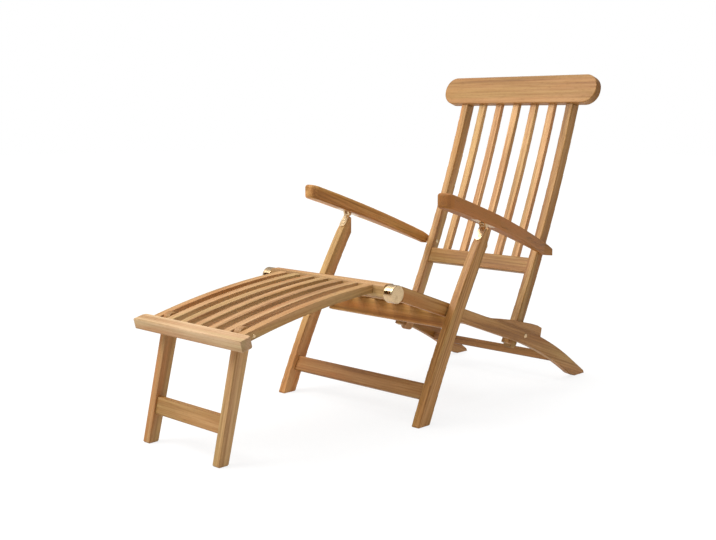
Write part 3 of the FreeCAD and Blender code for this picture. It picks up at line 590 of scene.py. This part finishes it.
class FittingSettings(bpy.types.PropertyGroup):
    head: FloatProperty(
        name="Bolt head", description="Diameter of the large bolt heads", unit="LENGTH",
        default=0.0138, min=0.004, max=0.03)
    small_head: FloatProperty(
        name="Small bolt head", description="Diameter of the footrest's bolt heads",
        unit="LENGTH", default=0.0098, min=0.003, max=0.02)
    head_height: FloatProperty(
        name="Head height", description="How far a large bolt head is domed", unit="LENGTH",
        default=0.0034, min=0.001, max=0.01)
    head_bedding: FloatProperty(
        name="Head bedding", description="How far a head is sunk over the plain end of its bolt",
        unit="LENGTH", default=0.0024, min=0.0, max=0.004)
    slot: FloatProperty(
        name="Slot", description="Width of the screwdriver slots", unit="LENGTH",
        default=0.0016, min=0.0003, max=0.004)
    cap: FloatProperty(
        name="Drum cap", description="Diameter of the caps of the brass drums", unit="LENGTH",
        default=0.0486, min=0.02, max=0.05)
    cap_height: FloatProperty(
        name="Cap height", description="Thickness of the caps at the rim", unit="LENGTH",
        default=0.0008, min=0.0003, max=0.003)
    plug: FloatProperty(
        name="Plug", description="Diameter of the plugs in the slats", unit="LENGTH",
        default=0.008, min=0.003, max=0.015)
    plug_depth: FloatProperty(
        name="Plug depth", description="How deep a plug is let in", unit="LENGTH",
        default=0.003, min=0.001, max=0.01)


class StageSettings(bpy.types.PropertyGroup):
    lens: FloatProperty(
        name="Lens", description="Focal length in millimetres",
        default=54.07, min=10.0, max=300.0)
    floor_size: FloatProperty(
        name="Floor size", description="Side of the square floor", unit="LENGTH",
        default=40.0, min=4.0, max=100.0)
    floor: FloatVectorProperty(
        name="Floor", description="Colour of the floor", subtype="COLOR",
        default=(0.9, 0.9, 0.9), min=0.0, max=1.0)
    key: FloatProperty(
        name="Key light", description="Power of the main soft light", unit="POWER",
        default=120.0, min=0.0, max=2000.0)
    sky: FloatProperty(
        name="Sky", description="Strength of the even light from all round",
        default=0.42, min=0.0, max=5.0)


# The steps; boards differ in tone and dryness, since no two pieces of wood are alike, and a few
# tones are painted shade and painted light, as marked

class SeatFrame(bpy.types.Operator):
    """Oils the seat rails, slats and cross pieces"""
    bl_idname = "deck_chair.seat_frame"
    bl_label = "Seat frame"

    def execute(self, context):
        settings = context.scene.chair_teak
        rails = pair("seat_rail") + pair("cheek_block")
        dress(rails, settings, SEAT_GRAIN, tone=1.0, dry=-0.1)
        slats = numbered("seat_slat_%d", SEAT_SLATS)
        dress(slats, settings, SEAT_GRAIN, tone=1.0, dry=0.1)
        dress(["seat_front_rail", "seat_apron"], settings, SIDEWAYS, tone=1.06, dry=-0.1)
        dress(["seat_rear_rail"], settings, SIDEWAYS, tone=0.95)
        # painted shade: this rail's darker, redder tone stands in for the shade it lies in under
        # the seat
        dress(["low_rear_rail"], settings, SIDEWAYS, tone=0.62, dry=-0.4)
        return {"FINISHED"}


class FrontLegs(bpy.types.Operator):
    """Oils the front legs and their stretcher"""
    bl_idname = "deck_chair.front_legs"
    bl_label = "Front legs"

    def execute(self, context):
        settings = context.scene.chair_teak
        dress(["front_leg_left"], settings, LEG_GRAIN, tone=1.04)
        dress(["front_leg_right"], settings, LEG_GRAIN, tone=1.14, dry=0.12)
        # painted shade: the stretcher's darker tone stands in for the shade of the seat and
        # footrest above it
        dress(["front_leg_stretcher"], settings, SIDEWAYS, tone=0.77, dry=-0.15)
        return {"FINISHED"}


class BackFrame(bpy.types.Operator):
    """Oils the stiles, slats and rails of the back"""
    bl_idname = "deck_chair.back_frame"
    bl_label = "Back frame"

    def execute(self, context):
        settings = context.scene.chair_teak
        dress(["back_stile_left"], settings, BACK_GRAIN, tone=0.88)
        dress(["back_stile_right"], settings, BACK_GRAIN, tone=1.16, dry=0.28)
        slats = numbered("back_slat_%d", BACK_SLATS)
        dress(slats, settings, BACK_GRAIN, tone=1.24, dry=0.26)
        dress(["back_top_rail"], settings, SIDEWAYS, tone=0.85, dry=-0.22)
        dress(["back_lower_rail"], settings, SIDEWAYS, tone=0.84)
        return {"FINISHED"}


class Arms(bpy.types.Operator):
    """Oils the arms"""
    bl_idname = "deck_chair.arms"
    bl_label = "Arms"

    def execute(self, context):
        settings = context.scene.chair_teak
        dress(["arm_left"], settings, SEAT_GRAIN, tone=1.05, dry=-0.85)
        # painted light: the far arm's brighter tone lights up its inner face, which lies in shade
        dress(["arm_right"], settings, SEAT_GRAIN, tone=1.36)
        return {"FINISHED"}


class Footrest(bpy.types.Operator):
    """Oils the footrest and its folding stand"""
    bl_idname = "deck_chair.footrest"
    bl_label = "Footrest"

    def execute(self, context):
        settings = context.scene.chair_teak
        dress(pair("footrest_rail"), settings, FOOT_GRAIN, tone=0.95, dry=0.2)
        slats = numbered("footrest_slat_%d", FOOTREST_SLATS)
        dress(slats, settings, FOOT_GRAIN, tone=0.97, dry=0.35)
        dress(["footrest_bar"], settings, SIDEWAYS, tone=1.0, dry=0.3)
        dress(["footrest_board"], settings, SIDEWAYS, tone=1.02, dry=0.78)
        dress(pair("footrest_leg"), settings, STAND_GRAIN, tone=1.0, dry=0.3)
        dress(["footrest_leg_stretcher"], settings, SIDEWAYS, tone=0.9, dry=0.1)
        return {"FINISHED"}


class BrassFittings(bpy.types.Operator):
    """Polishes the hinges, sockets, bolts and screws"""
    bl_idname = "deck_chair.brass_fittings"
    bl_label = "Brass fittings"

    def execute(self, context):
        names = pair("socket") + [
            "socket_screws", "back_pivot_bolts", "leg_pivot_bolts", "leg_washers",
            "leg_hinge_screws", "arm_bolts", "arm_spacers", "footrest_bar_pins",
            "footrest_bolts"]
        for stem in ("leg_hinge_leaf", "arm_hinge_leaf", "arm_hinge_pin", "arm_hinge_screws"):
            names += pair(stem)
        polish([NODES[name] for name in names], context.scene.chair_brass)
        return {"FINISHED"}


class BoltHeads(bpy.types.Operator):
    """Turns a domed, slotted head on each of the bolts that the chair folds on"""
    bl_idname = "deck_chair.bolt_heads"
    bl_label = "Bolt heads"

    def execute(self, context):
        settings = context.scene.chair_fittings
        pick = random.Random("bolt heads")
        master = slotted_dome(settings.head / 2, settings.head_height, settings.slot)
        small = slotted_dome(settings.small_head / 2, settings.head_height * SMALL_HEIGHT,
                             settings.slot * SMALL_SLOT)
        made = []
        for stem, node, body, source, inwards in (
                ("back_pivot_head", "back_pivot_bolts", "seat", master, False),
                ("leg_pivot_head", "leg_pivot_bolts", "legs", master, True),
                ("arm_bolt_head", "arm_bolts", "back", master, True),
                ("footrest_bolt_head", "footrest_bolts", "footrest", small, False)):
            for name, place, facing in head_places(node, stem, inwards, settings):
                head = set_down(source, name, place, facing, pick.uniform(0.0, math.pi))
                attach(head, body)
                made.append(head)
        discard(master)
        discard(small)
        polish(made, context.scene.chair_brass)
        return {"FINISHED"}


class DrumCaps(bpy.types.Operator):
    """Closes the outer end of each brass drum with a turned cap"""
    bl_idname = "deck_chair.drum_caps"
    bl_label = "Drum caps"

    def execute(self, context):
        settings = context.scene.chair_fittings
        master = drum_cap(settings.cap / 2, settings.cap_height)
        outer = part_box("socket_left")[1][0]
        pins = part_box("footrest_bar_pins")
        y, z = halfway(*pins)[1:]
        made = []
        for name, way in (("drum_cap_left", 1.0), ("drum_cap_right", -1.0)):
            place = (way * (outer - CAP_BEDDING), y, z)
            cap = set_down(master, name, place, (way, 0.0, 0.0))
            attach(cap, "seat")
            made.append(cap)
        discard(master)
        polish(made, context.scene.chair_brass)
        return {"FINISHED"}


class SlatPlugs(bpy.types.Operator):
    """Plugs the screws that hold the seat slats to the cross pieces"""
    bl_idname = "deck_chair.slat_plugs"
    bl_label = "Slat plugs"

    def execute(self, context):
        settings = context.scene.chair_fittings
        context.view_layer.update()
        master = wooden_plug(settings.plug / 2, settings.plug_depth)
        material = teak("plug", context.scene.chair_teak, UPRIGHT, tone=0.8)
        for end, rail in (("front", "seat_front_rail"), ("rear", "seat_rear_rail")):
            y = middle_of(rail)[1]
            for number, slat in enumerate(numbered("seat_slat_%d", SEAT_SLATS), 1):
                place, normal = on_top(slat, middle_of(slat)[0], y)
                plug = set_down(master, "plug_%s_%d" % (end, number), place, normal)
                put_on(plug, material)
                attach(plug, "seat")
        discard(master)
        return {"FINISHED"}


class Stage(bpy.types.Operator):
    """Lays the floor and sets the lights and the camera"""
    bl_idname = "deck_chair.stage"
    bl_label = "Stage"

    def execute(self, context):
        settings = context.scene.chair_stage
        lay_floor(settings)
        light_sky(context.scene, settings)
        hang_lamps(context.scene, settings)
        set_camera(context.scene, settings)
        context.scene.view_settings.view_transform = "Standard"
        return {"FINISHED"}


def lay_floor(settings):
    """A pale floor that takes shadows, and glows white to the camera further out."""
    bpy.ops.object.select_all(action="DESELECT")
    bpy.ops.mesh.primitive_plane_add(size=settings.floor_size, location=(0.0, 0.0, -FLOOR_DROP))
    floor = bpy.context.object
    floor.name = "floor"
    recipe = Recipe(bpy.data.materials.new("floor"))
    plain = recipe.node("ShaderNodeBsdfDiffuse", {}, {"Color": shade(settings.floor)})
    glow = recipe.node("ShaderNodeEmission", {}, {"Color": WHITE, "Strength": FLOOR_GLOW})
    where = recipe.node("ShaderNodeTexCoord", {}, {}, "Object")
    away = recipe.node("ShaderNodeVectorMath", {"operation": "LENGTH"}, {0: where}, 1)
    camera = recipe.node("ShaderNodeLightPath", {}, {}, "Is Camera Ray")
    glossy = recipe.node("ShaderNodeLightPath", {}, {}, "Is Glossy Ray")
    seen = camera * (away.between(*GLOW_GROWS) * (1.0 - NEAR_GLOW) + NEAR_GLOW)
    factor = seen + glossy * GLOSSY_GLOW
    surface = recipe.node("ShaderNodeMixShader", {}, {0: factor, 1: plain, 2: glow})
    recipe.node("ShaderNodeOutputMaterial", {}, {"Surface": surface})
    floor.data.materials.append(recipe.owner)


def light_sky(scene, settings):
    """Even light from all round, which the camera sees as plain white."""
    scene.world = bpy.data.worlds.new("studio")
    recipe = Recipe(scene.world)
    camera = recipe.node("ShaderNodeLightPath", {}, {}, "Is Camera Ray")
    sky = {"Color": WHITE, "Strength": camera.largest(settings.sky)}
    back = recipe.node("ShaderNodeBackground", {}, sky)
    recipe.node("ShaderNodeOutputWorld", {}, {"Surface": back})


def hang_lamps(scene, settings):
    for name, place, size, share in LAMPS:
        light = bpy.data.lights.new(name, "AREA")
        light.energy = settings.key * share
        light.size = size
        lamp = bpy.data.objects.new(name, light)
        lamp.location = place
        aim = Vector(LAMP_AIM) - lamp.location
        lamp.rotation_euler = aim.to_track_quat("-Z", "Y").to_euler()
        scene.collection.objects.link(lamp)


def set_camera(scene, settings):
    data = bpy.data.cameras.new("camera")
    data.lens = settings.lens
    data.sensor_width = CAMERA_SENSOR
    data.clip_end = CAMERA_REACH
    camera = bpy.data.objects.new("camera", data)
    camera.location = CAMERA_PLACE
    turn = math.radians(CAMERA_TURN)
    dip = math.radians(CAMERA_DIP)
    level = math.cos(dip)
    ahead = Vector((-math.sin(turn) * level, math.cos(turn) * level, -math.sin(dip)))
    camera.rotation_euler = ahead.to_track_quat("-Z", "Y").to_euler()
    scene.collection.objects.link(camera)
    scene.camera = camera


class ChairPanel(bpy.types.Panel):
    """Lists the chair's steps and settings"""
    bl_idname = "VIEW3D_PT_deck_chair"
    bl_label = "Deck Chair"
    bl_space_type = "VIEW_3D"
    bl_region_type = "UI"
    bl_category = "Deck Chair"

    def draw(self, context):
        for step in STEPS:
            self.layout.operator(step.bl_idname)
        scene = context.scene
        groups = (scene.chair_teak, scene.chair_brass, scene.chair_fittings, scene.chair_stage)
        for group in groups:
            for name in group.__annotations__:
                self.layout.prop(group, name)


GROUPS = (TeakSettings, BrassSettings, FittingSettings, StageSettings)
STEPS = (SeatFrame, FrontLegs, BackFrame, Arms, Footrest,
         BrassFittings, BoltHeads, DrumCaps, SlatPlugs, Stage)


def register():
    for cls in GROUPS + STEPS + (ChairPanel,):
        bpy.utils.register_class(cls)
    bpy.types.Scene.chair_teak = PointerProperty(type=TeakSettings)
    bpy.types.Scene.chair_brass = PointerProperty(type=BrassSettings)
    bpy.types.Scene.chair_fittings = PointerProperty(type=FittingSettings)
    bpy.types.Scene.chair_stage = PointerProperty(type=StageSettings)


def unregister():
    del bpy.types.Scene.chair_stage
    del bpy.types.Scene.chair_fittings
    del bpy.types.Scene.chair_brass
    del bpy.types.Scene.chair_teak
    for cls in reversed(GROUPS + STEPS + (ChairPanel,)):
        bpy.utils.unregister_class(cls)


def main():
    register()
    bpy.ops.deck_chair.seat_frame()
    bpy.ops.deck_chair.front_legs()
    bpy.ops.deck_chair.back_frame()
    bpy.ops.deck_chair.arms()
    bpy.ops.deck_chair.footrest()
    bpy.ops.deck_chair.brass_fittings()
    bpy.ops.deck_chair.bolt_heads()
    bpy.ops.deck_chair.drum_caps()
    bpy.ops.deck_chair.slat_plugs()
    bpy.ops.deck_chair.stage()


if __name__ == "__main__":
    main()
